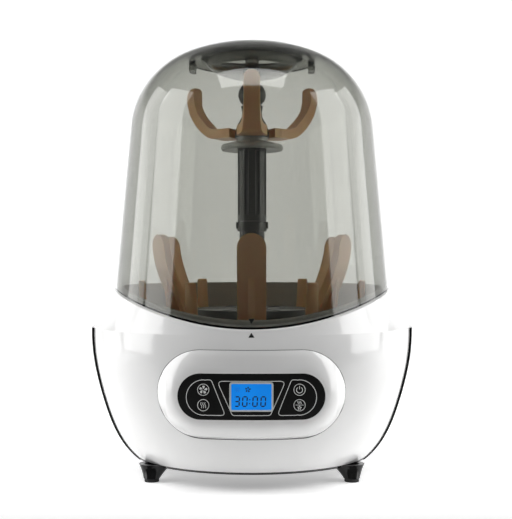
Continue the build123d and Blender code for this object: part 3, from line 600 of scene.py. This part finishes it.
# name, place, target, width, height, watts
SOFTBOXES = (
    ("side_left", (-0.85, -0.18, 0.45), MIDDLE, 0.45, 0.9, 4.6),
    ("side_right", (0.85, -0.18, 0.45), MIDDLE, 0.45, 0.9, 4.6),
    ("top_box", (0.0, -0.45, 1.10), SHOULDER, 0.8, 0.4, 5.2),
    ("edge_left", (-0.90, 0.26, 0.42), MIDDLE, 0.40, 0.9, 2.6),
    ("edge_right", (0.90, 0.26, 0.42), MIDDLE, 0.40, 0.9, 2.6),
    ("front_fill", (0.0, -1.7, 0.6), MIDDLE, 0.7, 0.5, 0.15),
)


def add_area(name, place, target, size_x, size_y, power):
    """White softbox aimed at a point."""
    data = bpy.data.lights.new(name, "AREA")
    data.shape = "RECTANGLE"
    data.size = size_x
    data.size_y = size_y
    data.energy = power
    light = bpy.data.objects.new(name, data)
    light.location = place
    light.rotation_euler = (Vector(target) - Vector(place)).to_track_quat("-Z", "Y").to_euler()
    bpy.context.collection.objects.link(light)


def add_lights():
    """Side boxes, edge boxes a little behind them, a top box and a weak front fill."""
    for softbox in SOFTBOXES:
        add_area(*softbox)


FLOOR_FRONT_Y = -4.0
BACKDROP_Y = 1.6
BACKDROP_RADIUS = 0.7
BACKDROP_HALF = 5.0
BACKDROP_TOP = 3.5
# Painted light on the floor: where its glow fades in and how strong it is, where it turns grey in front
# and how grey, and where the glow fades near the top.
FLOOR_DIM_Y = -0.20
FLOOR_LIT_Y = 0.04
FLOOR_DIM = 0.0
FLOOR_LIT = 0.62
FLOOR_GREY_Y = -0.32
FLOOR_PALE_Y = -0.17
FLOOR_GREY = 0.25
DUSK_LOW = 0.90
DUSK_HIGH = 1.35


def add_floor():
    """Pale floor that curves up into a backdrop, clear when seen from its back. It carries painted
    light: a glow under and behind the machine that fades out towards the front and near the top, and a
    painted grey in front of the machine so that it throws less light back onto it.
    """
    mesh = bpy.data.meshes.new("backdrop")
    bm = bmesh.new()
    radius, depth = BACKDROP_RADIUS, BACKDROP_Y
    profile = [(FLOOR_FRONT_Y, 0.0), (depth - radius, 0.0)]
    for i in range(1, 17):
        a = math.pi / 2 * i / 16
        profile.append((depth - radius + radius * math.sin(a), radius - radius * math.cos(a)))
    profile.append((depth, BACKDROP_TOP))
    rows = [[bm.verts.new((x, y, z)) for y, z in profile] for x in (-BACKDROP_HALF, BACKDROP_HALF)]
    for i in range(len(profile) - 1):
        bm.faces.new((rows[0][i], rows[1][i], rows[1][i + 1], rows[0][i + 1]))
    bm.to_mesh(mesh)
    bm.free()
    for polygon in mesh.polygons:
        polygon.use_smooth = True
    obj = bpy.data.objects.new("backdrop", mesh)
    material, tree, shader, output = new_material("backdrop_white")
    grain = object_noise(tree, 3.0, 1.0)
    pale = ramp(tree, grain, (0.93, 0.93, 0.93), (0.95, 0.95, 0.95))
    shader.inputs["Roughness"].default_value = 0.9
    shader.inputs["Specular IOR Level"].default_value = 0.0
    shader.inputs["Emission Color"].default_value = (1, 1, 1, 1)
    coords = tree.nodes.new("ShaderNodeTexCoord")
    split = tree.nodes.new("ShaderNodeSeparateXYZ")
    tree.links.new(coords.outputs["Object"], split.inputs["Vector"])
    # Painted light: the floor glows under and behind the machine, fading out towards the front and
    # towards the top of the backdrop.
    lit = smooth_step(tree, split.outputs["Y"], FLOOR_DIM_Y, FLOOR_LIT_Y, FLOOR_DIM, FLOOR_LIT)
    dusk = smooth_step(tree, split.outputs["Z"], DUSK_LOW, DUSK_HIGH, 1.0, 0.0)
    glow = tree.nodes.new("ShaderNodeMath")
    glow.operation = "MULTIPLY"
    tree.links.new(lit, glow.inputs[0])
    tree.links.new(dusk, glow.inputs[1])
    tree.links.new(glow.outputs["Value"], shader.inputs["Emission Strength"])
    # Painted darkening: the floor turns grey in front of the machine, so that it throws less light back
    # onto the base.
    front = smooth_step(tree, split.outputs["Y"], FLOOR_GREY_Y, FLOOR_PALE_Y)
    blend = tree.nodes.new("ShaderNodeMix")
    blend.data_type = "RGBA"
    blend.inputs["A"].default_value = (FLOOR_GREY, FLOOR_GREY, FLOOR_GREY, 1)
    tree.links.new(front, blend.inputs["Factor"])
    tree.links.new(pale, blend.inputs["B"])
    tree.links.new(blend.outputs["Result"], shader.inputs["Base Color"])
    side = tree.nodes.new("ShaderNodeNewGeometry")
    clear = tree.nodes.new("ShaderNodeBsdfTransparent")
    one_way = tree.nodes.new("ShaderNodeMixShader")
    tree.links.new(side.outputs["Backfacing"], one_way.inputs["Fac"])
    tree.links.new(shader.outputs["BSDF"], one_way.inputs[1])
    tree.links.new(clear.outputs["BSDF"], one_way.inputs[2])
    tree.links.new(one_way.outputs["Shader"], output.inputs["Surface"])
    obj.data.materials.append(material)
    bpy.context.collection.objects.link(obj)


WORLD_STRENGTH = 0.09


def set_world():
    """Even grey surroundings."""
    world = bpy.data.worlds.new("world")
    world.use_nodes = True
    background = world.node_tree.nodes["Background"]
    background.inputs["Color"].default_value = (1, 1, 1, 1)
    background.inputs["Strength"].default_value = WORLD_STRENGTH
    bpy.context.scene.world = world
    bpy.context.scene.view_settings.view_transform = "Standard"


# ---------------------------------------------------------------- build

add_camera()
dress_nodes()
panel_lines()
bezel_seam_shadow()
key_signs()
screen_signs()
alignment_marks()
set_world()
add_floor()
add_lights()
